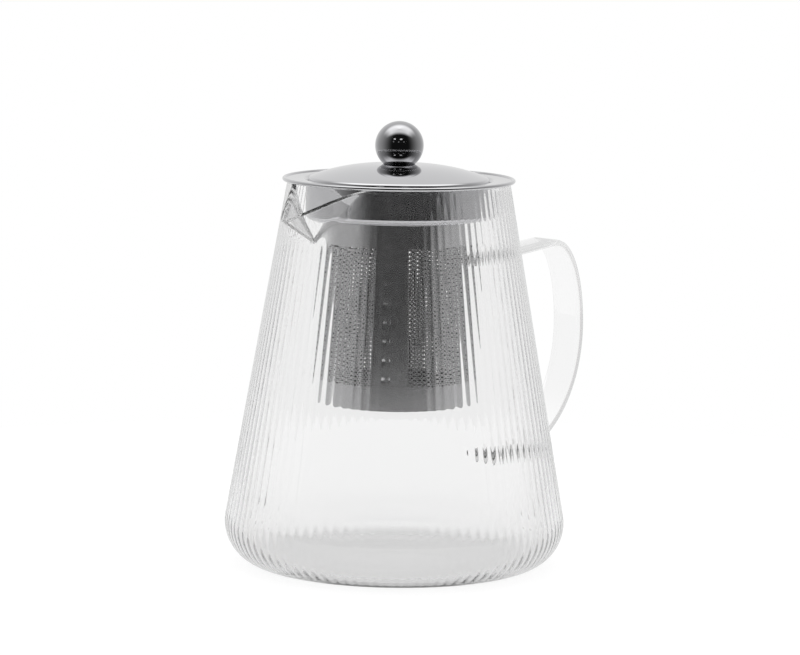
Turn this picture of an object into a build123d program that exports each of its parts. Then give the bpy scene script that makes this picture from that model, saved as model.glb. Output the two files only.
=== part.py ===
"""Glass teapot with a lift-out steel infuser and a drop-in steel lid.

Millimetres.  +Z is up, +X points to the handle and -X to the pouring lip.
The origin is the centre of the flat base, on the surface the pot stands on.
"""

from build123d import *
import math
import os

# ---------------------------------------------------------------- glass pot
POT_HEIGHT = 160.0            # base to the top of the rim
HEEL_OUTER_RADIUS = 70.5      # widest point, just above the base
HEEL_BEND = 17.8              # outside bend between base and wall
RIM_OUTER_RADIUS = 45.8
WALL = 2.2
FLOOR = 3.0
RIM_POLISH = 0.7              # fire-polished rounding of the rim

# ---------------------------------------------------------------- pouring lip
LIP_HALF_ANGLE = 23.0         # where the lip leaves the rim, either side of -X
LIP_PROJECTION = 21.2         # outside of the rim to the tip
LIP_DROP = 12.7               # rim to the top of the tip
LIP_TIP_HALF_WIDTH = 3.4
LIP_TIP_DEPTH = 4.6           # depth of the V at the tip
LIP_KEEL_DROP = 22.5          # rim to the keel, where the lip starts
LIP_KEEL_ROUND = 0.3          # rounded part of the keel, as a share of the V's width
LIP_CHANNEL_INSET = 2.0       # glass left round the pouring channel

# ---------------------------------------------------------------- handle
HANDLE_WIDTH = 16.0
HANDLE_THICKNESS = 2.6
HANDLE_REACH = 108.4          # axis to the outermost point
HANDLE_BULGE_HEIGHT = 91.5    # height of the outermost point
HANDLE_TOP_HEIGHT = 129.9
HANDLE_TOP_REACH = 91.0       # axis to the highest point
HANDLE_ARM_SLOPE = 6.5        # degrees, how steeply the upper arm climbs away from the pot
HANDLE_FOOT_HEIGHT = 39.7     # underside of the lower joint
HANDLE_FOOT_REACH = 66.0      # axis to where the lower arm levels out
HANDLE_EDGE_ROUND = 0.9

# ---------------------------------------------------------------- infuser
SHEET = 0.5                   # drawn sheet of the infuser's rim and of the lid
FLANGE_OVERHANG = 2.2         # outside of the glass rim to the outside of the rolled edge
FLANGE_BEAD = 0.8             # radius of the rolled edge
FLANGE_BEND = 1.4
COLLAR_GAP = 5.3              # inside of the glass mouth to the outside of the collar
COLLAR_DEPTH = 15.5           # glass rim to the underside of the ledge
COLLAR_BEND = 2.4
NECK_BEND = 1.0
NECK_DEPTH = 5.0              # neck that the basket is welded to
LEDGE_WIDTH = 8.2             # outside of the collar to the outside of the basket
BASKET_SHEET = 0.3            # etched sheet
BASKET_DEPTH = 92.0           # glass rim to the bottom of the basket
BASKET_TOP_GAP = 0.8          # ledge to the top edge of the etched sheet
SEAM_WIDTH = 12.0             # lap of the rolled sheet
SEAM_AZIMUTH = 217.7          # degrees, from the handle
BASE_LIP = 4.0                # upturned edge of the basket's base
BASE_BEND = 0.8

# ---------------------------------------------------------------- lid
LID_CLEARANCE = 0.4           # lid's shoulder to the collar's bore
LID_SHOULDER_RISE = 1.1       # glass rim to the top of the lid's shoulder
LID_DOME_RISE = 5.6           # shoulder to the knob's seat
LID_SHOULDER_BEND = 1.3
LID_SKIRT_TAPER = 2.0         # how far the skirt draws in on its way down
LID_SEAT_RADIUS = 7.2         # flat land under the knob

# ---------------------------------------------------------------- knob
KNOB_RADIUS = 10.0
KNOB_FOOT_RADIUS = 6.5        # flat where the ball stands on the lid
KNOB_SHELL = 0.8
INSERT_RADIUS = 3.9
INSERT_LENGTH = 8.0
INSERT_COLLAR_RADIUS = 5.2
INSERT_COLLAR_LENGTH = 1.5
THREAD_RADIUS = 2.0           # M4
THREAD_DEPTH = 7.0
THREAD_CLEARANCE = 0.05
SCREW_HOLE_CLEARANCE = 0.2
SCREW_REACH = 5.0             # screw length inside the knob
SCREW_HEAD_RADIUS = 3.8
SCREW_HEAD_HEIGHT = 2.4
SCREW_HEAD_ROUND = 0.9
SCREW_SLOT_WIDTH = 0.9
SCREW_SLOT_DEPTH = 1.2
WASHER_RADIUS = 4.6
WASHER_THICKNESS = 0.8

CUT_MARGIN = 5.0              # how far a cutting shape runs past what it cuts

# ---------------------------------------------------------------- radii that follow the glass rim
LIP_REACH = RIM_OUTER_RADIUS + LIP_PROJECTION
FLANGE_RADIUS = RIM_OUTER_RADIUS + FLANGE_OVERHANG
COLLAR_RADIUS = RIM_OUTER_RADIUS - WALL - COLLAR_GAP
BASKET_RADIUS = COLLAR_RADIUS - LEDGE_WIDTH


def pot_outline(floor_height, heel_bend, rim_radius):
    """Half section of the pot's outside or inside: floor, heel arc, straight wall."""
    centre_radius = HEEL_OUTER_RADIUS - HEEL_BEND
    centre_height = floor_height + heel_bend
    reach = rim_radius - centre_radius
    climb = POT_HEIGHT - centre_height
    lean = math.atan2(climb, reach) - math.acos(heel_bend / math.hypot(reach, climb))
    floor = Line((0, floor_height), (centre_radius, floor_height))
    heel = CenterArc((centre_radius, centre_height), heel_bend, -90, 90 + math.degrees(lean))
    wall = Line(heel @ 1, (rim_radius, POT_HEIGHT))
    mouth = Line((rim_radius, POT_HEIGHT), (0, POT_HEIGHT))
    axis = Line((0, POT_HEIGHT), (0, floor_height))
    return make_face(Wire([floor, heel, wall, mouth, axis]))


def lip_section(distance, half_width, top_height, keel_height):
    """V with a rounded keel, across the pouring direction, at a distance from the axis."""
    round_width = half_width * LIP_KEEL_ROUND
    round_height = keel_height + (top_height - keel_height) * LIP_KEEL_ROUND / 2
    left_top = (-distance, -half_width, top_height)
    right_top = (-distance, half_width, top_height)
    right_low = (-distance, round_width, round_height)
    left_low = (-distance, -round_width, round_height)
    keel = ThreePointArc(right_low, (-distance, 0, keel_height), left_low)
    top = Line(left_top, right_top)
    return make_face(Wire([top, Line(right_top, right_low), keel, Line(left_low, left_top)]))


def lip_wedge(inset, top_extra, start_distance, end_distance):
    """V that narrows and dips from the rim to the tip, its sides moved in by an inset."""
    root_distance = RIM_OUTER_RADIUS * math.cos(math.radians(LIP_HALF_ANGLE))
    root_half_width = RIM_OUTER_RADIUS * math.sin(math.radians(LIP_HALF_ANGLE))
    sections = []
    for distance in (start_distance, end_distance):
        share = (distance - root_distance) / (LIP_REACH - root_distance)
        half_width = root_half_width + share * (LIP_TIP_HALF_WIDTH - root_half_width)
        depth = LIP_KEEL_DROP + share * (LIP_TIP_DEPTH - LIP_KEEL_DROP)
        top_height = POT_HEIGHT - share * LIP_DROP
        keel_height = top_height - depth + inset * math.hypot(half_width, depth) / half_width
        open_height = top_height + top_extra
        open_half_width = (open_height - keel_height) * half_width / depth
        sections.append(lip_section(distance, open_half_width, open_height, keel_height))
    return loft(sections, ruled=True)


def bow_region(inset):
    """Region inside the handle's bow, drawn in by an inset; it reaches back to the pot's axis."""
    top_reach = HANDLE_REACH - HANDLE_TOP_REACH - inset
    top_rise = HANDLE_TOP_HEIGHT - HANDLE_BULGE_HEIGHT - inset
    foot_reach = HANDLE_REACH - HANDLE_FOOT_REACH - inset
    foot_drop = HANDLE_BULGE_HEIGHT - HANDLE_FOOT_HEIGHT - inset
    climb = math.tan(math.radians(HANDLE_ARM_SLOPE))
    meeting = 90 + math.degrees(math.atan(climb * top_reach / top_rise))
    upper_centre = (HANDLE_TOP_REACH, HANDLE_BULGE_HEIGHT)
    lower_centre = (HANDLE_FOOT_REACH, HANDLE_BULGE_HEIGHT)
    shoulder = EllipticalCenterArc(upper_centre, top_reach, top_rise, 0, arc_size=meeting)
    heel = EllipticalCenterArc(lower_centre, foot_reach, foot_drop, -90, arc_size=90)
    arm_end = shoulder @ 1
    arm = Line(arm_end, (0, arm_end.Y - climb * arm_end.X))
    back = Line(arm @ 1, (0, HANDLE_FOOT_HEIGHT + inset))
    foot = Line(back @ 1, heel @ 0)
    return make_face(Wire([shoulder, arm, back, foot, heel]))


def turned(section):
    """Turn a section drawn as (radius, height) about the pot's axis."""
    return revolve(Plane.XZ * section, Axis.Z)


def disc(radius, low, high):
    """Round slug on the pot's axis between two heights."""
    return Pos(0, 0, low) * Cylinder(radius, high - low, align=(Align.CENTER, Align.CENTER, Align.MIN))


# ---------------------------------------------------------------- glass pot
outside = turned(pot_outline(0, HEEL_BEND, RIM_OUTER_RADIUS))
cavity = turned(pot_outline(FLOOR, HEEL_BEND - WALL, RIM_OUTER_RADIUS - WALL))

pot_section = pot_outline(0, HEEL_BEND, RIM_OUTER_RADIUS)
pot_section -= pot_outline(FLOOR, HEEL_BEND - WALL, RIM_OUTER_RADIUS - WALL)
pot_section = fillet(pot_section.vertices().group_by(Axis.Y)[-1], RIM_POLISH)

lip_root = RIM_OUTER_RADIUS * math.cos(math.radians(LIP_HALF_ANGLE))
above_rim = disc(2 * HEEL_OUTER_RADIUS, POT_HEIGHT, 2 * POT_HEIGHT)
lip = lip_wedge(0, 0, lip_root - WALL / 2, LIP_REACH) - cavity - above_rim
channel = lip_wedge(LIP_CHANNEL_INSET, CUT_MARGIN, lip_root - 2 * CUT_MARGIN, LIP_REACH + 1)
glass_body = turned(pot_section) + lip - channel

# ---------------------------------------------------------------- handle
strap = Plane.XZ * (bow_region(0) - bow_region(HANDLE_THICKNESS))
strap = extrude(strap, HANDLE_WIDTH / 2, both=True)
strap_sides = strap.edges().group_by(Axis.Y)
strap = fillet(strap_sides[0] + strap_sides[-1], HANDLE_EDGE_ROUND)
glass_handle = strap - outside

# ---------------------------------------------------------------- infuser
flange_height = POT_HEIGHT + SHEET / 2
ledge_underside = POT_HEIGHT - COLLAR_DEPTH
ledge_top = ledge_underside + SHEET
basket_bore = BASKET_RADIUS - BASKET_SHEET
basket_bottom = POT_HEIGHT - BASKET_DEPTH
basket_top = ledge_underside - BASKET_TOP_GAP
bead_radius = FLANGE_RADIUS - FLANGE_BEAD

rim_path = FilletPolyline(
    (bead_radius, flange_height),
    (COLLAR_RADIUS - SHEET / 2, flange_height),
    (COLLAR_RADIUS - SHEET / 2, ledge_underside + SHEET / 2),
    (basket_bore - SHEET / 2, ledge_underside + SHEET / 2),
    (basket_bore - SHEET / 2, ledge_underside - NECK_DEPTH),
    radius=[FLANGE_BEND, COLLAR_BEND, NECK_BEND],
)
infuser_rim = turned(trace(rim_path, SHEET) + Pos(bead_radius, flange_height) * Circle(FLANGE_BEAD))

basket_wall = disc(BASKET_RADIUS, basket_bottom, basket_top) - disc(basket_bore, 0, POT_HEIGHT)
seam_angle = math.degrees(SEAM_WIDTH / BASKET_RADIUS)
seam_ring = disc(BASKET_RADIUS + BASKET_SHEET, basket_bottom, basket_top) - disc(BASKET_RADIUS, 0, POT_HEIGHT)
seam_sector = Pos(0, 0, basket_bottom) * Cylinder(
    2 * BASKET_RADIUS,
    POT_HEIGHT,
    arc_size=seam_angle,
    rotation=(0, 0, SEAM_AZIMUTH - seam_angle / 2),
    align=(Align.NONE, Align.NONE, Align.MIN),
)
basket_wall += seam_ring & seam_sector

base_height = basket_bottom + BASKET_SHEET / 2
base_path = FilletPolyline(
    (0, base_height),
    (basket_bore - BASKET_SHEET / 2, base_height),
    (basket_bore - BASKET_SHEET / 2, basket_bottom + BASE_LIP),
    radius=BASE_BEND,
)
basket_base = turned(trace(base_path, BASKET_SHEET))

# ---------------------------------------------------------------- lid
lid_radius = COLLAR_RADIUS - SHEET - LID_CLEARANCE
shoulder_height = POT_HEIGHT + LID_SHOULDER_RISE
seat_height = shoulder_height + LID_DOME_RISE
screw_hole_radius = THREAD_RADIUS + SCREW_HOLE_CLEARANCE

seat = Line((screw_hole_radius, seat_height - SHEET / 2), (LID_SEAT_RADIUS, seat_height - SHEET / 2))
dome = TangentArc(seat @ 1, (lid_radius - SHEET / 2, shoulder_height - SHEET / 2), tangent=seat % 1)
skirt = Line(dome @ 1, (lid_radius - SHEET / 2 - LID_SKIRT_TAPER, ledge_top))
lid_path = Wire([seat, dome, skirt])
lid_corner = lid_path.vertices().sort_by(Axis.X)[-1]
lid_path = lid_path.fillet_2d(LID_SHOULDER_BEND, [lid_corner])
lid_cover = turned(trace(lid_path, SHEET)) - disc(FLANGE_RADIUS, 0, ledge_top)

# ---------------------------------------------------------------- knob
ball_height = seat_height + math.sqrt(KNOB_RADIUS ** 2 - KNOB_FOOT_RADIUS ** 2)
floor_height = seat_height + KNOB_SHELL
ball_hollow = Pos(0, 0, ball_height) * Sphere(KNOB_RADIUS - KNOB_SHELL) - disc(KNOB_RADIUS, 0, floor_height)
knob_ball = Pos(0, 0, ball_height) * Sphere(KNOB_RADIUS) - disc(KNOB_RADIUS, 0, seat_height) - ball_hollow
knob_ball -= disc(INSERT_RADIUS, 0, ball_height)

knob_insert = disc(INSERT_RADIUS, seat_height, seat_height + INSERT_LENGTH)
knob_insert += disc(INSERT_COLLAR_RADIUS, floor_height, floor_height + INSERT_COLLAR_LENGTH)
knob_insert -= disc(THREAD_RADIUS, seat_height, seat_height + THREAD_DEPTH)

washer_bottom = seat_height - SHEET - WASHER_THICKNESS
knob_washer = disc(WASHER_RADIUS, washer_bottom, seat_height - SHEET) - disc(screw_hole_radius, 0, seat_height)

head_bottom = washer_bottom - SCREW_HEAD_HEIGHT
screw_head = disc(SCREW_HEAD_RADIUS, head_bottom, washer_bottom)
screw_head = fillet(screw_head.edges().group_by(Axis.Z)[0], SCREW_HEAD_ROUND)
slot_height = 2 * SCREW_SLOT_DEPTH
screw_slot = Pos(0, 0, head_bottom) * Box(2 * SCREW_HEAD_RADIUS, SCREW_SLOT_WIDTH, slot_height)
shank = disc(THREAD_RADIUS - THREAD_CLEARANCE, washer_bottom, seat_height + SCREW_REACH)
knob_screw = screw_head - screw_slot + shank

# ---------------------------------------------------------------- one file per piece
pieces = {
    "glass_body": glass_body,
    "glass_handle": glass_handle,
    "infuser_rim": infuser_rim,
    "basket_wall": basket_wall,
    "basket_base": basket_base,
    "lid_cover": lid_cover,
    "knob_ball": knob_ball,
    "knob_insert": knob_insert,
    "knob_washer": knob_washer,
    "knob_screw": knob_screw,
}
os.makedirs("parts", exist_ok=True)
for name, piece in pieces.items():
    export_step(piece, f"parts/{name}.step")
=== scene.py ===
"""Looks of a glass teapot: ribbed pot, strap handle, lift-out infuser and drop-in lid.

Every piece is built in metres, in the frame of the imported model, and rides on its body.
"""

import logging
import math
from collections.abc import Iterable
from dataclasses import dataclass, field
from enum import Enum

import bmesh
import bpy
from mathutils import Matrix, Vector


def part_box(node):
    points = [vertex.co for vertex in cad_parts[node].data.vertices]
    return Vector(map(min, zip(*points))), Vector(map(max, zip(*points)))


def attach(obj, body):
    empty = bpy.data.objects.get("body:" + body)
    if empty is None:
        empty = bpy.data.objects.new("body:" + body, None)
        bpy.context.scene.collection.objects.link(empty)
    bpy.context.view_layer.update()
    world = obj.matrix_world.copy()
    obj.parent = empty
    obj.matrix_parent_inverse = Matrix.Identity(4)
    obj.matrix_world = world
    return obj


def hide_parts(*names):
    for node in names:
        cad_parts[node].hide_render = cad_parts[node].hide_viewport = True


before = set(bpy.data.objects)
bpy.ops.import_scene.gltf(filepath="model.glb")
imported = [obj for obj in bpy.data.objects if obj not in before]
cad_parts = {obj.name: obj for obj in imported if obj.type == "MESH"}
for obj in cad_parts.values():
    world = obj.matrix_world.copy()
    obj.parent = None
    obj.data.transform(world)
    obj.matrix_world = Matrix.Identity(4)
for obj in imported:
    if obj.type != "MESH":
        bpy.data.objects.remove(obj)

log = logging.getLogger("teapot")

MM = 0.001
AXIS_Z = (0.0, 0.0, 1.0)
ORIGIN = (0.0, 0.0, 0.0)
MERGE = 1e-7
SHARP_FROM = 60.0  # degrees between faces from which an edge shows
BEND_SPANS = 8  # spans of each bend in sheet metal
LIGHT_BOUNCES = 32  # light runs a long way round inside a glass wall

Point = tuple[float, float]
BMesh = bmesh.types.BMesh
Material = bpy.types.Material
Object = bpy.types.Object
Socket = bpy.types.NodeSocket
Tree = bpy.types.NodeTree


class Body(Enum):
    """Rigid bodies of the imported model."""

    POT = "pot"
    INFUSER = "infuser"
    LID = "lid"


class Slot(Enum):
    """Material slots of the record."""

    GLASS = "borosilicate_glass"
    POLISHED = "polished_steel"
    ETCHED = "etched_steel"
    PLAIN = "plain_steel"


# ---------- small tools


def linear(code: str) -> tuple[float, float, float, float]:
    """Turn an sRGB hex colour into linear RGBA.

    Args:
        code: six hex digits, with or without a leading #.

    Returns:
        Red, green, blue and alpha, from 0 to 1.
    """
    digits = code.lstrip("#")
    channels = []
    for start in (0, 2, 4):
        value = int(digits[start:start + 2], 16) / 255
        channels.append(value / 12.92 if value <= 0.04045 else ((value + 0.055) / 1.055) ** 2.4)
    return (channels[0], channels[1], channels[2], 1.0)


def add_node(
    tree: Tree,
    kind: str,
    settings: dict[str, object] | None = None,
    inputs: dict[str | int, object] | None = None,
) -> bpy.types.Node:
    """Add a shader node with its settings, constants and links.

    Args:
        tree: node tree that gets the node.
        kind: Blender's name of the node type, without ShaderNode.
        settings: attributes of the node itself.
        inputs: socket name or index to a constant, or to an output socket to link from.

    Returns:
        The new node.
    """
    node = tree.nodes.new(f"ShaderNode{kind}")
    for name, value in (settings or {}).items():
        setattr(node, name, value)
    for name, value in (inputs or {}).items():
        if isinstance(value, Socket):
            tree.links.new(value, node.inputs[name])
        else:
            node.inputs[name].default_value = value
    return node


def new_tree(name: str) -> tuple[Material, Tree]:
    """Make an empty node material.

    Args:
        name: name of the material.

    Returns:
        The material and its node tree.
    """
    material = bpy.data.materials.new(name)
    material.use_nodes = True
    material.node_tree.nodes.clear()
    return material, material.node_tree


def arc(centre: Point, radius: float, start: float, end: float, steps: int) -> list[Point]:
    """Points along a circular arc, both ends included.

    Args:
        centre: centre of the arc.
        radius: radius of the arc.
        start: first angle in degrees.
        end: last angle in degrees.
        steps: number of spans.

    Returns:
        The points, from start to end.
    """
    points = []
    for index in range(steps + 1):
        angle = math.radians(start + (end - start) * index / steps)
        points.append((centre[0] + radius * math.cos(angle), centre[1] + radius * math.sin(angle)))
    return points


def straight(start: Point, end: Point, steps: int) -> list[Point]:
    """Points inside a straight run, both ends left out.

    Args:
        start: point before the run.
        end: point after the run.
        steps: number of spans.

    Returns:
        The points between the ends.
    """
    return [
        (start[0] + (end[0] - start[0]) * index / steps, start[1] + (end[1] - start[1]) * index / steps)
        for index in range(1, steps)
    ]


def spin(points: Iterable[Point], segments: int, closed: bool, sectors: int = 16) -> BMesh:
    """Turn a half section about the upright axis, one sector first and then copies of it.

    Args:
        points: (radius, height) of the half section, in millimetres.
        segments: number of spans round the axis.
        closed: whether the last point joins the first.
        sectors: number of equal sectors, which divides segments.

    Returns:
        The turned shape, closed and facing outwards.
    """
    mesh = bmesh.new()
    verts = [mesh.verts.new((radius * MM, 0.0, height * MM)) for radius, height in points]
    edges = [mesh.edges.new(pair) for pair in zip(verts, verts[1:])]
    if closed:
        edges.append(mesh.edges.new((verts[-1], verts[0])))
    share = math.tau / sectors
    sweep = {"cent": ORIGIN, "axis": AXIS_Z, "use_merge": False}
    bmesh.ops.spin(
        mesh, geom=verts + edges, angle=share, steps=segments // sectors, use_duplicate=False, **sweep
    )
    sector = mesh.verts[:] + mesh.edges[:] + mesh.faces[:]
    bmesh.ops.spin(mesh, geom=sector, angle=math.tau - share, steps=sectors - 1, use_duplicate=True, **sweep)
    bmesh.ops.remove_doubles(mesh, verts=mesh.verts, dist=MERGE)
    bmesh.ops.recalc_face_normals(mesh, faces=mesh.faces)
    return mesh


def sheet_section(path: list[Point], thickness: float) -> list[Point]:
    """Closed section of sheet metal whose middle follows a path.

    Args:
        path: (radius, height) of the sheet's middle.
        thickness: thickness of the sheet.

    Returns:
        Points of the closed outline.
    """
    left: list[Point] = []
    right: list[Point] = []
    for index, (radius, height) in enumerate(path):
        before = path[max(index - 1, 0)]
        after = path[min(index + 1, len(path) - 1)]
        along = Vector((after[0] - before[0], after[1] - before[1])).normalized()
        side = (along.y * thickness / 2, -along.x * thickness / 2)
        left.append((radius - side[0], height - side[1]))
        right.append((radius + side[0], height + side[1]))
    return left + right[::-1]


def finish_piece(
    mesh: BMesh,
    name: str,
    body: Body,
    material: Material,
    stands_for: str | None,
) -> Object:
    """Make a smooth-shaded object of a shape, and let it ride on its body.

    Args:
        mesh: the shape, in metres; it is freed.
        name: name of the piece.
        body: body that the piece moves with.
        material: finish of the piece.
        stands_for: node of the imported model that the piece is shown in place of.

    Returns:
        The new object.
    """
    data = bpy.data.meshes.new(name)
    mesh.to_mesh(data)
    triangles = sum(len(face.verts) - 2 for face in mesh.faces)
    mesh.free()
    data.materials.append(material)
    data.shade_smooth()
    data.set_sharp_from_angle(angle=math.radians(SHARP_FROM))
    piece = bpy.data.objects.new(name, data)
    bpy.context.scene.collection.objects.link(piece)
    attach(piece, body.value)
    if stands_for is not None:
        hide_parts(stands_for)
    log.info("%s: %d triangles on %s", name, triangles, body.value)
    return piece


def rounded(corners: list[Point], radii: list[float], steps: int) -> list[Point]:
    """Path through corners that are rounded by tangent arcs.

    Args:
        corners: (radius, height) of the ends and corners.
        radii: bend radius of each inner corner, 0 for a sharp one.
        steps: spans of each bend.

    Returns:
        Points of the path.
    """
    path = [corners[0]]
    for index, bend in enumerate(radii, start=1):
        corner = Vector(corners[index])
        back = (Vector(corners[index - 1]) - corner).normalized()
        ahead = (Vector(corners[index + 1]) - corner).normalized()
        half = back.angle(ahead) / 2
        if bend == 0:
            path.append(tuple(corner))
            continue
        centre = corner + (back + ahead).normalized() * bend / math.sin(half)
        first = corner + back * bend / math.tan(half) - centre
        turn = first.angle_signed(corner + ahead * bend / math.tan(half) - centre)
        for step in range(steps + 1):
            spoke = first.copy()
            spoke.rotate(Matrix.Rotation(-turn * step / steps, 2))
            path.append(tuple(centre + spoke))
    path.append(corners[-1])
    return path


def smoothstep(low: float, high: float, value: float) -> float:
    """Rise smoothly from 0 at low to 1 at high."""
    share = min(max((value - low) / (high - low), 0.0), 1.0)
    return share * share * (3 - 2 * share)


def punch(mesh: BMesh, cells: list[bmesh.types.BMFace], radius: float) -> None:
    """Open a round hole in the middle of each cell of a flat or bent sheet.

    Args:
        mesh: the sheet.
        cells: faces that each get a hole.
        radius: radius of the holes, in metres.
    """
    edges = list({edge for cell in cells for edge in cell.edges})
    bmesh.ops.bisect_edges(mesh, edges=edges, cuts=1)
    bmesh.ops.inset_individual(mesh, faces=cells, thickness=radius / 4, use_even_offset=True)
    for cell in cells:
        centre = cell.calc_center_median()
        for vert in cell.verts:
            vert.co = centre + (vert.co - centre).normalized() * radius
    bmesh.ops.delete(mesh, geom=cells, context="FACES")


def thicken(mesh: BMesh, thickness: float) -> None:
    """Give an open sheet its thickness, inwards from its normals.

    Args:
        mesh: the sheet.
        thickness: thickness in metres.
    """
    bmesh.ops.recalc_face_normals(mesh, faces=mesh.faces)
    bmesh.ops.solidify(mesh, geom=mesh.faces[:], thickness=thickness)
    bmesh.ops.recalc_face_normals(mesh, faces=mesh.faces)


# ---------- finishes


def noise(tree: Tree, where: Socket, size: float, detail: float) -> Socket:
    """Cloudy pattern from 0 to 1, with patches of a size in metres."""
    inputs = {"Vector": where, "Scale": 1 / size, "Detail": detail}
    return add_node(tree, "TexNoise", inputs=inputs).outputs["Fac"]


def bumped(tree: Tree, height: Socket, depth: float) -> Socket:
    """Normal of a surface that a pattern is pressed into, to a depth in metres."""
    inputs = {"Height": height, "Distance": depth, "Strength": 1.0}
    return add_node(tree, "Bump", inputs=inputs).outputs["Normal"]


def from_axis(tree: Tree, place: Socket) -> Socket:
    """Distance of a point from the upright axis."""
    flat = add_node(tree, "VectorMath", {"operation": "MULTIPLY"}, {0: place, 1: (1.0, 1.0, 0.0)})
    return add_node(tree, "VectorMath", {"operation": "LENGTH"}, {0: flat.outputs[0]}).outputs["Value"]


def mixed(tree: Tree, share: Socket, first: object, second: object) -> Socket:
    """Mix of two colours, each a socket or linear RGBA."""
    inputs = {0: share, 6: first, 7: second}
    return add_node(tree, "Mix", {"data_type": "RGBA"}, inputs).outputs[2]


@dataclass(frozen=True)
class BorosilicateGlass:
    """Blown borosilicate glass: clear, nearly colourless, with a faint waviness left by blowing."""

    # The eye gets sharp edges on the ribs, and a backdrop that bends a little where it shows through.
    tint: str = "#F9F9F9"
    ior: float = 1.473
    wave_length: float = 14 * MM
    wave_depth: float = 0.02 * MM
    wave_detail: float = 1.0

    def material(self) -> Material:
        """Make the material.

        Returns:
            The material.
        """
        material, tree = new_tree("blown_borosilicate_glass")
        place = add_node(tree, "TexCoord").outputs["Object"]
        waves = noise(tree, place, self.wave_length, self.wave_detail)
        glass = add_node(
            tree,
            "BsdfPrincipled",
            inputs={
                "Base Color": linear(self.tint),
                "Roughness": 0.0,
                "IOR": self.ior,
                "Transmission Weight": 1.0,
                "Normal": bumped(tree, waves, self.wave_depth),
            },
        )
        add_node(tree, "OutputMaterial", inputs={"Surface": glass.outputs["BSDF"]})
        return material


@dataclass(frozen=True)
class SpunSteel:
    """Stainless steel finished on a lathe: rings about the pot's axis, more or less polished away."""

    # The eye gets reflections drawn out across the rings, dulled here and there by handling.
    name: str
    colour: str
    polish: float
    ring_pitch: float
    ring_depth: float
    smudge: float
    ring_detail: float = 3.0
    smudge_size: float = 9 * MM
    smudge_detail: float = 4.0
    smudge_from: float = 0.35
    smudge_to: float = 0.7

    def material(self) -> Material:
        """Make the material.

        Returns:
            The material.
        """
        material, tree = new_tree(self.name)
        place = add_node(tree, "TexCoord").outputs["Object"]
        height = add_node(tree, "SeparateXYZ", inputs={"Vector": place}).outputs["Z"]
        across = add_node(tree, "CombineXYZ", inputs={"X": from_axis(tree, place), "Y": height})
        rings = noise(tree, across.outputs["Vector"], self.ring_pitch, self.ring_detail)
        gloss = add_node(
            tree,
            "MapRange",
            inputs={
                "Value": noise(tree, place, self.smudge_size, self.smudge_detail),
                "From Min": self.smudge_from,
                "From Max": self.smudge_to,
                "To Min": self.polish,
                "To Max": self.polish + self.smudge,
            },
        )
        steel = add_node(
            tree,
            "BsdfPrincipled",
            inputs={
                "Base Color": linear(self.colour),
                "Metallic": 1.0,
                "Roughness": gloss.outputs["Result"],
                "Normal": bumped(tree, rings, self.ring_depth),
            },
        )
        add_node(tree, "OutputMaterial", inputs={"Surface": steel.outputs["BSDF"]})
        return material


# Pressed parts, buffed: a near mirror with a faint haze.
POLISHED_STEEL = SpunSteel(
    name="polished_stainless_steel",
    colour="#CFCFD1",
    polish=0.05,
    ring_pitch=0.6 * MM,
    ring_depth=0.0012 * MM,
    smudge=0.05,
)
# Turned fixings, left as they come off the lathe: grey, with visible rings.
TURNED_STEEL = SpunSteel(
    name="turned_stainless_steel",
    colour="#A9A9AB",
    polish=0.22,
    ring_pitch=0.35 * MM,
    ring_depth=0.006 * MM,
    smudge=0.08,
)
# The ball, polished hardest: a darker, deeper mirror.
MIRROR_STEEL = SpunSteel(
    name="mirror_polished_steel_ball",
    colour="#B6B6B8",
    polish=0.04,
    ring_pitch=0.6 * MM,
    ring_depth=0.0008 * MM,
    smudge=0.05,
)


@dataclass(frozen=True)
class EtchedSteel:
    """Rolled stainless sheet, photo-etched: matt grey with a fine upright grain and cloudy patches."""

    # The eye gets soft upright streaks for reflections, and holes that read dark against painted shade on the
    # inner face.
    colour: str = "#E2E2E3"
    shade: str = "#CCCCCD"
    roughness: float = 0.2
    grain_width: float = 0.25 * MM
    grain_depth: float = 0.01 * MM
    grain_stretch: float = 20.0
    grain_detail: float = 2.0
    cloud_size: float = 16 * MM
    cloud_detail: float = 5.0
    # Painted shade: faces nearer the axis than this radius get the dark colour below, standing in for the
    # shade inside the basket.
    shaded_within: float = 0.0
    inner_shade_colour: str = "#5A5854"

    def material(self) -> Material:
        """Make the material.

        Returns:
            The material.
        """
        shaded_inside = "painted_shade_inside" if self.shaded_within else "bare"
        material, tree = new_tree(f"photo_etched_stainless_sheet_{shaded_inside}")
        place = add_node(tree, "TexCoord").outputs["Object"]
        stretch = (1.0, 1.0, 1 / self.grain_stretch)
        upright = add_node(tree, "Mapping", inputs={"Vector": place, "Scale": stretch})
        grain = noise(tree, upright.outputs["Vector"], self.grain_width, self.grain_detail)
        cloud = noise(tree, place, self.cloud_size, self.cloud_detail)
        tone = mixed(tree, cloud, linear(self.colour), linear(self.shade))
        # Painted shade: the inner face of the wall is coloured dark where it lies within the given radius.
        limits = {0: from_axis(tree, place), 1: self.shaded_within}
        inside = add_node(tree, "Math", {"operation": "LESS_THAN"}, limits)
        steel = add_node(
            tree,
            "BsdfPrincipled",
            inputs={
                "Base Color": mixed(tree, inside.outputs["Value"], tone, linear(self.inner_shade_colour)),
                "Metallic": 1.0,
                "Roughness": self.roughness,
                "Normal": bumped(tree, grain, self.grain_depth),
            },
        )
        add_node(tree, "OutputMaterial", inputs={"Surface": steel.outputs["BSDF"]})
        return material


# ---------- glass


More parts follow.
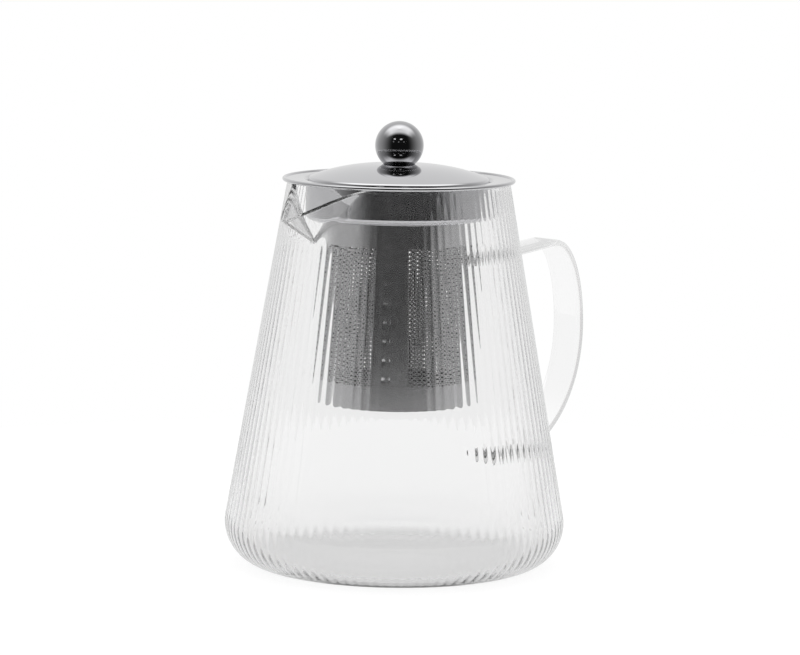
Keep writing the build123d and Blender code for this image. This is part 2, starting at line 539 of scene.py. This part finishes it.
@dataclass
class GlassPot:
    """Ribbed pot with a rounded heel and a V lip pulled out of the rim."""

    glass: Material
    heel_radius: float = 70.5
    heel_bend: float = 17.8
    rim_radius: float = 45.8
    wall: float = 2.2
    floor: float = 3.0
    rim_polish: float = 1.08
    ribs: int = 100
    spans_per_rib: int = 8
    rib_relief: float = 0.2
    rib_sharpness: float = 1.25
    lip_half_angle: float = 34.0
    lip_projection: float = 21.2
    lip_drop: float = 12.7
    lip_keel_drop: float = 22.5
    lip_keel_round: float = 0.05
    lip_ease: float = 0.62
    lip_swell: float = 0.4
    lip_swell_share: float = 0.3
    lip_margin: float = 4.0
    wall_taper: float = 0.1756
    heel_relief: float = 0.35
    heel_relief_heights: Point = (34.0, 12.0)
    plain_below_rim: Point = (0.5, 3.0)
    plain_above_base: Point = (0.6, 6.0)
    plain_beside_lip: Point = (1.15, 0.85)
    plain_below_lip: Point = (30.0, 20.0)
    floor_spans: int = 4
    heel_spans: int = 16
    wall_spans: int = 8
    lip_spans: int = 18
    edge_spans: int = 5
    edge_start: float = 10.0
    height: float = field(init=False)

    def __post_init__(self) -> None:
        """Read the pot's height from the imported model."""
        self.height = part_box("glass_body")[1].z / MM

    def side(self, floor_height: float, bend: float, mouth: float, polish: float) -> list[Point]:
        """Half section of one side of the glass, from the axis to just under the rim.

        Args:
            floor_height: height of the floor.
            bend: radius of the heel.
            mouth: radius at the rim.
            polish: how far below the rim the wall ends.

        Returns:
            Points from the axis outwards and up.
        """
        centre = (self.heel_radius - self.heel_bend, floor_height + bend)
        reach = mouth - centre[0]
        climb = self.height - centre[1]
        lean = math.degrees(math.atan2(climb, reach) - math.acos(bend / math.hypot(reach, climb)))
        heel = arc(centre, bend, -90, lean, self.heel_spans)
        slope = (mouth - heel[-1][0]) / (self.height - heel[-1][1])
        lip_foot = self.height - self.lip_keel_drop - self.lip_margin
        bottom_of_lip = (mouth - slope * (self.height - lip_foot), lip_foot)
        top = (mouth - slope * polish, self.height - polish)
        floor = [(0.0, floor_height)] + straight((0.0, floor_height), heel[0], self.floor_spans)
        lower = straight(heel[-1], bottom_of_lip, self.wall_spans) + [bottom_of_lip]
        return floor + heel + lower + straight(bottom_of_lip, top, self.lip_spans) + [top]

    def outline(self) -> list[Point]:
        """Half section of the whole pot, from the middle of the base round to the middle of the floor.

        Returns:
            Points of the half section.
        """
        polish = self.rim_polish
        mouth = self.rim_radius - self.wall
        outer = self.side(0.0, self.heel_bend, self.rim_radius, polish)
        inner = self.side(self.floor, self.heel_bend - self.wall, mouth, polish)
        top = self.height - polish
        start = self.edge_start
        outer_edge = arc((self.rim_radius - polish, top), polish, start, 90, self.edge_spans)
        inner_edge = arc((mouth + polish, top), polish, 90, 180 - start, self.edge_spans)
        return outer + outer_edge + inner_edge + inner[::-1]

    def lip_share(self, angle: float, height: float) -> float:
        """How far a point of the wall is drawn out with the lip, from 0 to 1.

        Args:
            angle: radians from the pouring direction.
            height: height in millimetres.

        Returns:
            The share at that point of the wall.
        """
        climb = 1 - (self.height - height) / self.lip_keel_drop
        if climb <= 0:
            return 0.0
        across = abs(angle) / (math.radians(self.lip_half_angle) * climb)
        if across >= 1:
            return 0.0
        edge = math.hypot(1, self.lip_keel_round)
        tent = (edge - math.hypot(across, self.lip_keel_round)) / (edge - self.lip_keel_round)
        eased = tent - self.lip_ease / 2
        if tent < self.lip_ease:
            eased = tent * tent / (2 * self.lip_ease)
        return climb * eased / (1 - self.lip_ease / 2)

    def shape(self, co: Vector, outer: bool) -> Vector:
        """Place of a point of the plain turned pot once it is ribbed and its lip is drawn.

        Args:
            co: the point, in millimetres.
            outer: whether it is on the outside of the glass.

        Returns:
            The new place.
        """
        radius = math.hypot(co.x, co.y)
        angle = math.atan2(co.y, co.x)
        from_lip = math.atan2(math.sin(angle - math.pi), math.cos(angle - math.pi))
        moved = co.copy()
        below_rim = self.height - co.z
        if outer:
            valley = 1 - abs(math.cos(self.ribs * angle / 2)) ** self.rib_sharpness
            off_rim = smoothstep(*self.plain_below_rim, below_rim)
            off_base = smoothstep(*self.plain_above_base, co.z)
            beside = abs(from_lip) / math.radians(self.lip_half_angle)
            in_lip = smoothstep(*self.plain_beside_lip, beside)
            in_lip *= smoothstep(*self.plain_below_lip, below_rim)
            deeper = 1 + self.heel_relief * smoothstep(*self.heel_relief_heights, co.z)
            relief = self.rib_relief * deeper * valley * off_rim * off_base * (1 - in_lip)
            moved.x *= 1 - relief / radius
            moved.y *= 1 - relief / radius
        share = self.lip_share(from_lip, co.z)
        middle = self.rim_radius - self.wall / 2 + below_rim * self.wall_taper
        thicker = 1 + self.lip_swell * smoothstep(0.0, self.lip_swell_share, share)
        drawn = (middle + (radius - middle) * thicker) / radius
        moved.x *= drawn
        moved.y *= drawn
        moved.x -= share * self.lip_projection
        moved.z -= share * self.lip_drop
        return moved

    def build(self) -> Object:
        """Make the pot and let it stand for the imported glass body.

        Returns:
            The new object.
        """
        mesh = spin(self.outline(), self.ribs * self.spans_per_rib, closed=False, sectors=self.ribs)
        half = self.wall / 2
        middle = self.side(self.floor / 2, self.heel_bend - half, self.rim_radius - half, 0.0)
        for vert in mesh.verts:
            co = vert.co / MM
            radius = math.hypot(co.x, co.y)
            if radius < self.wall:
                continue
            vert.co = self.shape(co, self.outside(middle, radius, co.z)) * MM
        bmesh.ops.recalc_face_normals(mesh, faces=mesh.faces)
        return finish_piece(mesh, "pot_glass", Body.POT, self.glass, "glass_body")

    @staticmethod
    def outside(middle: list[Point], radius: float, height: float) -> bool:
        """Whether a point lies outside the middle line of the wall.

        Args:
            middle: middle line of the wall, from the axis outwards and up.
            radius: radius of the point.
            height: height of the point.

        Returns:
            True on the outer side.
        """
        for low, high in zip(middle, middle[1:]):
            if low[1] <= height <= high[1] and high[1] > low[1]:
                share = (height - low[1]) / (high[1] - low[1])
                return radius > low[0] + share * (high[0] - low[0])
        return height < middle[0][1]


@dataclass
class StrapHandle:
    """Flat glass strap bent into a bow and hot-joined to the wall at both ends."""

    glass: Material
    thickness: float = 2.6
    top_reach: float = 91.0
    bulge_height: float = 91.5
    foot_reach: float = 66.0
    arm_slope: float = 6.5
    wall_at_rim: float = 45.45
    wall_lean: float = 9.96
    foot_sink: float = 2.4
    flare_length: float = 6.0
    flare_top: float = 1.8
    flare_foot: float = 2.4
    flare_spread: float = 1 / 12
    section_spans: int = 28
    arm_spans: int = 12
    upper_spans: int = 24
    lower_spans: int = 28
    width_squareness: float = 0.32
    face_squareness: float = 0.6

    def centre_line(self) -> list[Point]:
        """Middle of the strap, from the upper joint round to the lower one.

        Returns:
            Points of the middle line, in millimetres.
        """
        low, high = (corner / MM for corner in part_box("glass_handle"))
        half = self.thickness / 2
        reach = high.x - self.top_reach - half
        rise = high.z - self.bulge_height - half
        climb = math.tan(math.radians(self.arm_slope))
        meeting = 90 + math.degrees(math.atan(climb * reach / rise))
        bow = []
        for step in range(self.upper_spans + 1):
            angle = math.radians(meeting * (1 - step / self.upper_spans))
            height = self.bulge_height + rise * math.sin(angle)
            bow.append((self.top_reach + reach * math.cos(angle), height))
        wall = self.wall_radius(high.z)
        arm_start = (wall, bow[0][1] - climb * (bow[0][0] - wall))
        lower_reach = high.x - self.foot_reach - half
        drop = self.bulge_height - low.z - half
        for step in range(1, self.lower_spans + 1):
            share = step / self.lower_spans
            angle = math.radians(-90 * share)
            height = self.bulge_height + drop * math.sin(angle) - self.foot_sink * share ** 4
            bow.append((self.foot_reach + lower_reach * math.cos(angle), height))
        return [arm_start] + straight(arm_start, bow[0], self.arm_spans) + bow

    def wall_radius(self, height: float) -> float:
        """Radius just under the skin of the pot wall at a height, both in millimetres."""
        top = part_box("glass_body")[1].z / MM
        return self.wall_at_rim + (top - height) * math.tan(math.radians(self.wall_lean))

    def tube(self, half_width: float, rings: int) -> BMesh:
        """Straight strap along X, with one ring at every whole number of X.

        Args:
            half_width: half of the strap's width.
            rings: number of rings.

        Returns:
            The open tube, not yet to scale along X.
        """
        mesh = bmesh.new()
        upright = Matrix.Rotation(math.pi / 2, 4, "Y")
        ring = bmesh.ops.create_circle(mesh, segments=self.section_spans, radius=1.0, matrix=upright)["verts"]
        for vert in ring:
            across, through = vert.co.y, vert.co.z
            across = math.copysign(abs(across) ** self.width_squareness, across)
            through = math.copysign(abs(through) ** self.face_squareness, through)
            vert.co = Vector((0.0, across * half_width, through * self.thickness / 2))
        bmesh.ops.spin(
            mesh,
            geom=mesh.verts[:] + mesh.edges[:],
            cent=ORIGIN,
            axis=AXIS_Z,
            dvec=(1.0, 0.0, 0.0),
            angle=0.0,
            steps=rings - 1,
            use_merge=False,
            use_duplicate=False,
        )
        return mesh

    def build(self) -> Object:
        """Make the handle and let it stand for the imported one.

        Returns:
            The new object.
        """
        low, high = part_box("glass_handle")
        line = [Vector((reach, 0.0, height)) for reach, height in self.centre_line()]
        run = [0.0]
        for before, after in zip(line, line[1:]):
            run.append(run[-1] + (after - before).length)
        mesh = self.tube((high.y - low.y) / MM / 2, len(line))
        for vert in mesh.verts:
            index = round(vert.co.x)
            along = line[min(index + 1, len(line) - 1)] - line[max(index - 1, 0)]
            at_top = smoothstep(self.flare_length, 0.0, run[index])
            at_foot = smoothstep(self.flare_length, 0.0, run[-1] - run[index])
            swell = 1 + (self.flare_top - 1) * at_top ** 2 + (self.flare_foot - 1) * at_foot ** 2
            turn = Matrix.Rotation(-math.atan2(along.z, along.x), 3, "Y")
            widen = 1 + (swell - 1) * self.flare_spread
            co = line[index] + turn @ Vector((0.0, vert.co.y * widen, vert.co.z * swell))
            if index in (0, len(line) - 1):
                wall = self.wall_radius(co.z)
                co.x = math.sqrt(wall * wall - co.y * co.y)
            vert.co = co * MM
        bmesh.ops.holes_fill(mesh, edges=[edge for edge in mesh.edges if edge.is_boundary], sides=0)
        bmesh.ops.recalc_face_normals(mesh, faces=mesh.faces)
        return finish_piece(mesh, "handle_glass", Body.POT, self.glass, "glass_handle")


# ---------- infuser


@dataclass
class InfuserRim:
    """Pressed ring that hangs in the mouth: rolled flange, collar, ledge and neck in one sheet."""

    steel: Material
    sheet: float = 0.5
    bead: float = 0.8
    flange_bend: float = 1.65
    collar_radius: float = 38.05
    collar_bend: float = 2.4
    ledge_height: float = 144.75
    neck_radius: float = 29.55
    neck_bend: float = 1.0
    bead_spans: int = 16
    segments: int = 192

    def build(self) -> Object:
        """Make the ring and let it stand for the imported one.

        Returns:
            The new object.
        """
        low, high = (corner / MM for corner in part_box("infuser_rim"))
        bead_centre = (high.x - self.bead, high.z - self.bead)
        corners = [
            (bead_centre[0] - self.bead, bead_centre[1]),
            (self.collar_radius, bead_centre[1]),
            (self.collar_radius, self.ledge_height),
            (self.neck_radius, self.ledge_height),
            (self.neck_radius, low.z),
        ]
        path = rounded(corners, [self.flange_bend, self.collar_bend, self.neck_bend], BEND_SPANS)
        opening = 180 - math.degrees(math.asin(self.sheet / 2 / self.bead))
        bead = arc(bead_centre, self.bead, opening, -opening, self.bead_spans)
        section = sheet_section(path[1:], self.sheet) + bead
        mesh = spin(section, self.segments, closed=True)
        return finish_piece(mesh, "infuser_ring", Body.INFUSER, self.steel, "infuser_rim")


@dataclass
class Basket:
    """Rolled, photo-etched strainer with a spot-welded lap and a perforated bottom."""

    steel: Material
    # Wall finish with painted shade on its inner face.
    shaded_inside: Material
    sheet: float = 0.3
    # The etched holes are too fine to show at their real size, so they are drawn a little larger.
    columns: int = 109
    plain_columns: int = 7
    rows: int = 33
    hole_radius: float = 0.4
    lowest_hole: float = 77.3
    highest_hole: float = 135.0
    seam_azimuth: float = 217.7
    lap_width: float = 12.0
    lap_spans: tuple[int, int] = (36, 160)
    welds: int = 8
    lowest_weld: float = 80.6
    weld_pitch: float = 7.7
    weld_radius: float = 1.5
    weld_depth: float = 0.085
    weld_floor: float = 0.3
    base_lip: float = 4.0
    base_bend: float = 0.8
    base_bend_spans: int = 5
    base_pitch: float = 1.75
    base_holes_reach: float = 26.5
    base_sides: int = 96
    bottom: float = field(init=False)
    top: float = field(init=False)
    radius: float = field(init=False)

    def __post_init__(self) -> None:
        """Read the basket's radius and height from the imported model."""
        low, high = (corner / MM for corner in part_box("basket_wall"))
        self.bottom = low.z
        self.top = high.z
        self.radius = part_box("basket_base")[1].x / MM + self.sheet

    def wall_sheet(self) -> BMesh:
        """Rolled sheet with its field of staggered holes, still without thickness.

        Returns:
            The sheet, rolled up.
        """
        mesh = bmesh.new()
        side = Matrix.Translation((0.5, 0.5, 0.0))
        bands = self.rows + 2
        bmesh.ops.create_grid(mesh, x_segments=self.columns, y_segments=bands, size=0.5, matrix=side)
        for vert in mesh.verts:
            vert.co.x = round(vert.co.x * self.columns)
            vert.co.y = round(vert.co.y * bands)
        first = self.plain_columns // 2 + 1
        field = [
            face
            for face in mesh.faces
            if first <= face.calc_center_median().x <= self.columns - first + 1
            and 1 < face.calc_center_median().y < self.rows + 1
        ]
        inside = set(field)
        plain = set(mesh.faces) - inside
        between = [
            edge
            for edge in mesh.edges
            if len(edge.link_faces) == 2 and inside.issuperset(edge.link_faces)
        ]
        bmesh.ops.poke(mesh, faces=field)
        bmesh.ops.dissolve_edges(mesh, edges=between, use_verts=False, use_face_split=False)
        diamonds = [face for face in mesh.faces if len(face.verts) == 4 and face not in plain]
        for vert in mesh.verts:
            row = min(max(vert.co.y - 1, 0), self.rows) / self.rows
            height = self.lowest_hole + row * (self.highest_hole - self.lowest_hole)
            height -= max(1 - vert.co.y, 0) * (self.lowest_hole - self.bottom)
            height += max(vert.co.y - 1 - self.rows, 0) * (self.top - self.highest_hole)
            vert.co = Vector((vert.co.x * math.tau * self.radius / self.columns, height, 0.0)) * MM
        punch(mesh, diamonds, self.hole_radius * MM)
        self.roll(mesh, self.radius, 0.0)
        bmesh.ops.remove_doubles(mesh, verts=mesh.verts, dist=MERGE)
        return mesh

    def roll(self, mesh: BMesh, radius: float, middle: float) -> None:
        """Bend a flat sheet in X and Y about the upright axis.

        Args:
            mesh: the sheet, with X along the circumference and Y upwards.
            radius: radius that it is bent to, in millimetres.
            middle: X of the line that comes to the seam, in metres.
        """
        for vert in mesh.verts:
            angle = math.radians(self.seam_azimuth) + (vert.co.x - middle) / (radius * MM)
            reach = radius * MM + vert.co.z
            vert.co = Vector((reach * math.cos(angle), reach * math.sin(angle), vert.co.y))

    def build_wall(self) -> list[Object]:
        """Make the wall in two halves, which keeps each of them light.

        Returns:
            The two new objects.
        """
        whole = self.wall_sheet()
        seam = math.radians(self.seam_azimuth)
        across = Vector((-math.sin(seam), math.cos(seam), 0.0))
        pieces = []
        for name, sign in (("basket_wall_left", 1), ("basket_wall_right", -1)):
            half = whole.copy()
            other = [face for face in half.faces if sign * face.calc_center_median().dot(across) < 0]
            bmesh.ops.delete(half, geom=other, context="FACES")
            thicken(half, self.sheet * MM)
            pieces.append(finish_piece(half, name, Body.INFUSER, self.shaded_inside, "basket_wall"))
        whole.free()
        return pieces

    def build_lap(self) -> Object:
        """Make the overlapping edge of the sheet, with its row of spot welds.

        Returns:
            The new object.
        """
        mesh = bmesh.new()
        wide, tall = self.lap_spans
        bmesh.ops.create_grid(mesh, x_segments=wide, y_segments=tall, size=0.5)
        middle = (self.bottom + self.top) / 2
        for vert in mesh.verts:
            along = vert.co.x * self.lap_width
            height = middle + vert.co.y * (self.top - self.bottom)
            step = (height - self.lowest_weld) / self.weld_pitch
            nearest = min(max(round(step), 0), self.welds - 1)
            away = math.hypot(along, (step - nearest) * self.weld_pitch) / self.weld_radius
            dimple = self.weld_depth * smoothstep(1.0, self.weld_floor, away)
            vert.co = Vector((along, height, self.sheet - dimple)) * MM
        self.roll(mesh, self.radius, 0.0)
        thicken(mesh, self.sheet * MM)
        return finish_piece(mesh, "basket_lap", Body.INFUSER, self.steel, None)

    def build_base(self) -> Object:
        """Make the perforated bottom with its upturned edge.

        Returns:
            The new object.
        """
        mesh = bmesh.new()
        bore = self.radius - self.sheet
        cells = 2 * math.ceil(bore / self.base_pitch) + 1
        half = cells * self.base_pitch * MM / 2
        bmesh.ops.create_grid(mesh, x_segments=cells, y_segments=cells, size=half)
        reach = self.base_holes_reach * MM
        field_of_holes = [face for face in mesh.faces if face.calc_center_median().length < reach]
        punch(mesh, field_of_holes, self.hole_radius * MM)
        disc = (bore - self.base_bend) * MM
        for side in range(self.base_sides):
            angle = math.tau * (side + 0.5) / self.base_sides
            out = Vector((math.cos(angle), math.sin(angle), 0.0))
            bmesh.ops.bisect_plane(
                mesh,
                geom=mesh.verts[:] + mesh.edges[:] + mesh.faces[:],
                dist=MERGE,
                plane_co=out * disc,
                plane_no=out,
                clear_outer=True,
            )
        outermost = disc - 1 * MM
        rim = [edge for edge in mesh.edges if edge.is_boundary and edge.verts[0].co.length > outermost]
        bend = self.base_bend
        lip = arc((bore - bend, bend), bend, -90, 0, self.base_bend_spans)[1:] + [(bore, self.base_lip)]
        for radius, rise in lip:
            made = bmesh.ops.extrude_edge_only(mesh, edges=rim)["geom"]
            rim = [item for item in made if isinstance(item, bmesh.types.BMEdge) and item.is_boundary]
            for vert in {vert for edge in rim for vert in edge.verts}:
                flat = Vector((vert.co.x, vert.co.y)).normalized() * radius * MM
                vert.co = Vector((flat.x, flat.y, rise * MM))
        bmesh.ops.translate(mesh, verts=mesh.verts, vec=(0.0, 0.0, self.bottom * MM))
        thicken(mesh, self.sheet * MM)
        return finish_piece(mesh, "basket_bottom", Body.INFUSER, self.steel, "basket_base")


# ---------- lid


@dataclass
class Lid:
    """Low domed lid with a shoulder and a skirt that slides into the collar."""

    steel: Material
    sheet: float = 0.5
    radius: float = 37.4
    shoulder_height: float = 161.1
    shoulder_bend: float = 1.3
    seat_radius: float = 7.2
    hole_radius: float = 2.2
    skirt_taper: float = 2.0
    dome_spans: int = 24
    segments: int = 192

    def build(self) -> Object:
        """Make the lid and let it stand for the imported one.

        Returns:
            The new object.
        """
        low, high = (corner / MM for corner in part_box("lid_cover"))
        seat = high.z - self.sheet / 2
        edge = (self.radius - self.sheet / 2, self.shoulder_height - self.sheet / 2)
        run = edge[0] - self.seat_radius
        fall = seat - edge[1]
        dome_radius = (run * run + fall * fall) / (2 * fall)
        end = math.degrees(math.asin(run / dome_radius))
        dome = arc((self.seat_radius, seat - dome_radius), dome_radius, 90, 90 - end, self.dome_spans)
        foot = (edge[0] - self.skirt_taper, low.z)
        shoulder = rounded([dome[-3], edge, foot], [self.shoulder_bend], BEND_SPANS)
        path = [(self.hole_radius, seat)] + dome[:-2] + shoulder[1:]
        mesh = spin(sheet_section(path, self.sheet), self.segments, closed=True)
        return finish_piece(mesh, "lid_dome", Body.LID, self.steel, "lid_cover")


@dataclass
class BallKnob:
    """Hollow polished ball on a small flat, held by a threaded insert, a washer and a screw."""

    steel: Material
    turned: Material
    shell: float = 0.8
    outer_spans: int = 72
    inner_spans: int = 24
    segments: int = 128

    def build(self) -> Object:
        """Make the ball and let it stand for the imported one.

        Returns:
            The new object.
        """
        low, high = (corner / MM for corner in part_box("knob_ball"))
        radius = high.x
        centre = (0.0, high.z - radius)
        foot = math.degrees(math.asin((low.z - centre[1]) / radius))
        bore = radius - self.shell
        inner_foot = math.degrees(math.asin((low.z - centre[1]) / bore))
        outer = arc(centre, radius, 90, foot, self.outer_spans)
        section = outer + arc(centre, bore, inner_foot, 90, self.inner_spans)
        section[0] = (0.0, high.z)
        section[-1] = (0.0, centre[1] + bore)
        mesh = spin(section, self.segments, closed=False)
        return finish_piece(mesh, "ball_knob", Body.LID, self.steel, "knob_ball")

    def dress_fixings(self) -> None:
        """Give the insert, washer and screw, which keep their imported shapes, their finish."""
        for name in ("knob_insert", "knob_washer", "knob_screw"):
            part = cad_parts[name]
            part.data.materials.clear()
            part.data.materials.append(self.turned)
            log.info("%s: packed shape, turned steel", name)


# ---------- studio


@dataclass(frozen=True)
class Pane:
    """Soft-edged bright rectangle on the sky: azimuth and elevation of its middle, half sizes, level."""

    middle: Point
    half: Point
    level: float
    edge: float = 1.5


@dataclass
class Studio:
    """Pale floor, even white light all round, and the dark room that polished steel mirrors."""

    azimuth: float = -46.0
    camera_distance: float = 1560 * MM
    camera_height: float = 298.8 * MM
    pitch: float = 7.306
    roll: float = 0.808
    lens: float = 171.16
    shift: float = 0.0039
    glass_edge: float = 0.73
    scattered_level: float = 1.2
    dark_middle: float = 4.0
    dark_edge: Point = (36.0, 122.0)
    dark_levels: Point = (0.01, 0.5)
    dark_edge_through: Point = (34.0, 84.0)
    dark_levels_through: Point = (0.003, 0.53)
    backdrop_edge: Point = (105.0, 160.0)
    backdrop_level: float = 0.32
    softbox_front: Point = (54.0, 76.0)
    softbox_rear: Point = (104.0, 128.0)
    softbox_ends: Point = (0.5, 0.9)
    softbox_level: float = 1.2
    panes: tuple[Pane, ...] = (
        Pane((-26.0, 33.0), (5.0, 2.6), 1.3),
        Pane((9.0, 33.0), (6.0, 2.6), 1.3),
        Pane((-30.0, 20.0), (3.0, 1.6), 0.4),
        Pane((-4.0, 20.0), (3.0, 1.6), 0.4),
        Pane((22.0, 20.0), (3.0, 1.6), 0.4),
    )
    floor_radius: float = 0.4
    floor_drop: float = 0.3 * MM
    floor_colour: str = "#F6F6F6"
    floor_glow: float = 1.15
    floor_glow_seen: float = 0.85
    floor_glow_through: float = 0.55

    def build_floor(self) -> Object:
        """Make the floor.

        Returns:
            The new object.
        """
        mesh = bmesh.new()
        bmesh.ops.create_circle(
            mesh,
            cap_ends=True,
            segments=96,
            radius=self.floor_radius,
            matrix=Matrix.Translation((0.0, 0.0, -self.floor_drop)),
        )
        data = bpy.data.meshes.new("floor")
        mesh.to_mesh(data)
        mesh.free()
        material, tree = new_tree("matt_white_paper")
        colour = linear(self.floor_colour)
        paper = add_node(tree, "BsdfDiffuse", inputs={"Color": colour})
        glow = add_node(tree, "Emission", inputs={"Color": colour, "Strength": self.floor_glow})
        path = add_node(tree, "LightPath")
        share = self.ramp(
            tree,
            path.outputs["Is Camera Ray"],
            (0.0, 1.0),
            (self.floor_glow_through, self.floor_glow_seen),
        )
        lit = add_node(
            tree,
            "MixShader",
            inputs={0: share, 1: paper.outputs["BSDF"], 2: glow.outputs["Emission"]},
        )
        add_node(tree, "OutputMaterial", inputs={"Surface": lit.outputs["Shader"]})
        data.materials.append(material)
        floor = bpy.data.objects.new("floor", data)
        bpy.context.scene.collection.objects.link(floor)
        return floor

    def build_camera(self) -> Object:
        """Make the camera.

        Returns:
            The new object.
        """
        data = bpy.data.cameras.new("camera")
        data.lens = self.lens
        data.shift_x = self.shift
        data.clip_start = 0.05
        data.clip_end = 50.0
        camera = bpy.data.objects.new("camera", data)
        angle = math.radians(self.azimuth)
        place = Matrix.Translation(
            (
                self.camera_distance * math.sin(angle),
                -self.camera_distance * math.cos(angle),
                self.camera_height,
            )
        )
        turn = Matrix.Rotation(angle, 4, "Z") @ Matrix.Rotation(math.radians(90 - self.pitch), 4, "X")
        camera.matrix_world = place @ turn @ Matrix.Rotation(math.radians(self.roll), 4, "Z")
        bpy.context.scene.collection.objects.link(camera)
        bpy.context.scene.camera = camera
        return camera

    def ramp(
        self, tree: Tree, value: Socket, span: Point, levels: Point
    ) -> Socket:
        """Smooth step of a value between two levels.

        Args:
            tree: node tree of the world.
            value: what is looked at.
            span: where the step starts and ends.
            levels: level before and after the step.

        Returns:
            Socket of the level.
        """
        step = add_node(
            tree,
            "MapRange",
            {"interpolation_type": "SMOOTHSTEP"},
            {"Value": value, 1: span[0], 2: span[1], 3: levels[0], 4: levels[1]},
        )
        return step.outputs["Result"]

    def combine(
        self, tree: Tree, operation: str, first: object, second: object
    ) -> Socket:
        """Result of one operation on two values."""
        node = add_node(tree, "Math", {"operation": operation}, {0: first, 1: second})
        return node.outputs["Value"]

    def patch(
        self,
        tree: Tree,
        where: tuple[Socket, Socket],
        pane: Pane,
    ) -> Socket:
        """Light of a rectangle on the sky.

        Args:
            tree: node tree of the world.
            where: azimuth and elevation of the looked-at direction, in degrees.
            pane: the rectangle.

        Returns:
            Socket that is the pane's level inside and 0 outside.
        """
        inside = []
        for value, centre, extent in zip(where, pane.middle, pane.half):
            away = self.combine(tree, "ABSOLUTE", self.combine(tree, "SUBTRACT", value, centre), 0.0)
            edge = (extent - pane.edge / 2, extent + pane.edge / 2)
            inside.append(self.ramp(tree, away, edge, (1.0, 0.0)))
        return self.combine(tree, "MULTIPLY", self.combine(tree, "MULTIPLY", *inside), pane.level)

    def blend(
        self, tree: Tree, share: Socket, low: object, high: object
    ) -> Socket:
        """Value between low, at share 0, and high, at share 1."""
        return add_node(tree, "Mix", {"data_type": "FLOAT"}, {0: share, 2: low, 3: high}).outputs[0]

    def build_light(self) -> None:
        """Make the surroundings: white for the eye, and what steel and glass mirror."""
        world = bpy.data.worlds.new("white_studio")
        world.use_nodes = True
        tree = world.node_tree
        tree.nodes.clear()
        look = add_node(tree, "TexCoord")
        turned = add_node(
            tree,
            "VectorRotate",
            {"rotation_type": "Z_AXIS"},
            {"Vector": look.outputs["Generated"], "Angle": -math.radians(self.azimuth)},
        )
        axes = add_node(tree, "SeparateXYZ", inputs={"Vector": turned.outputs["Vector"]})
        back = self.combine(tree, "MULTIPLY", axes.outputs["Y"], -1.0)
        radians = self.combine(tree, "ARCTAN2", axes.outputs["X"], back)
        azimuth = self.combine(tree, "MULTIPLY", radians, 180 / math.pi)
        rise = self.combine(tree, "ARCSINE", axes.outputs["Z"], 0.0)
        elevation = self.combine(tree, "MULTIPLY", rise, 180 / math.pi)
        where = (azimuth, elevation)

        # Polished steel mirrors a dark room round the camera, lit walls beyond it and a soft box overhead.
        # It is seen either bare or through one wall of the pot and back, which crosses four glass skins.
        side = self.combine(tree, "ABSOLUTE", self.combine(tree, "SUBTRACT", azimuth, self.dark_middle), 0.0)
        path = add_node(tree, "LightPath")
        skins_crossed = path.outputs["Transmission Depth"]
        bare = self.combine(tree, "COMPARE", skins_crossed, 0.0)
        through_wall = self.combine(tree, "COMPARE", skins_crossed, 4.0)
        soft = self.ramp(tree, side, self.dark_edge, self.dark_levels)
        crisp = self.ramp(tree, side, self.dark_edge_through, self.dark_levels_through)
        near = self.blend(tree, through_wall, soft, crisp)
        far = self.ramp(tree, side, self.backdrop_edge, (0.0, self.backdrop_level))
        over = self.combine(tree, "ARCTAN2", axes.outputs["Z"], back)
        over = self.combine(tree, "MULTIPLY", over, 180 / math.pi)
        rising = self.ramp(tree, over, self.softbox_front, (0.0, 1.0))
        falling = self.ramp(tree, over, self.softbox_rear, (self.softbox_level, 0.0))
        sideways = self.combine(tree, "ABSOLUTE", axes.outputs["X"], 0.0)
        length = self.ramp(tree, sideways, self.softbox_ends, (1.0, 0.0))
        softbox = self.combine(tree, "MULTIPLY", self.combine(tree, "MULTIPLY", rising, falling), length)
        room = self.combine(tree, "ADD", self.combine(tree, "ADD", near, far), softbox)
        for pane in self.panes:
            room = self.combine(tree, "ADD", room, self.patch(tree, where, pane))

        # Glass mirrors an even grey instead, and everything else sees plain white.
        mirrored = self.combine(tree, "GREATER_THAN", path.outputs["Glossy Depth"], 0.5)
        off_metal = self.combine(tree, "ADD", bare, through_wall)
        room = self.blend(tree, off_metal, self.glass_edge, room)
        scattered = self.combine(tree, "GREATER_THAN", path.outputs["Diffuse Depth"], 0.5)
        plain = self.ramp(tree, scattered, (0.0, 1.0), (1.0, self.scattered_level))
        seen = self.blend(tree, mirrored, plain, room)
        sky = add_node(
            tree,
            "Background",
            inputs={"Color": (1.0, 1.0, 1.0, 1.0), "Strength": seen},
        )
        add_node(tree, "OutputWorld", inputs={"Surface": sky.outputs["Background"]})
        world.cycles.sampling_method = "NONE"
        bpy.context.scene.world = world


# ---------- the teapot


def main() -> None:
    """Build every piece, then the studio round them."""
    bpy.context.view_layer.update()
    glass = BorosilicateGlass().material()
    polished = POLISHED_STEEL.material()
    turned = TURNED_STEEL.material()
    mirror = MIRROR_STEEL.material()
    etched = EtchedSteel().material()
    middle_of_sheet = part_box("basket_base")[1].x + Basket.sheet / 2 * MM
    # Same etched steel with painted shade on the inner face of the basket wall.
    shaded_inside = EtchedSteel(shaded_within=middle_of_sheet).material()
    GlassPot(glass).build()
    StrapHandle(glass).build()
    InfuserRim(polished).build()
    basket = Basket(etched, shaded_inside)
    basket.build_wall()
    basket.build_lap()
    basket.build_base()
    Lid(polished).build()
    knob = BallKnob(mirror, turned)
    knob.build()
    knob.dress_fixings()
    studio = Studio()
    studio.build_floor()
    studio.build_camera()
    studio.build_light()
    scene = bpy.context.scene
    scene.view_settings.view_transform = "Standard"
    scene.cycles.max_bounces = LIGHT_BOUNCES
    scene.cycles.glossy_bounces = LIGHT_BOUNCES
    scene.cycles.transmission_bounces = LIGHT_BOUNCES


if __name__ == "__main__":
    logging.basicConfig(level=logging.INFO)
    main()
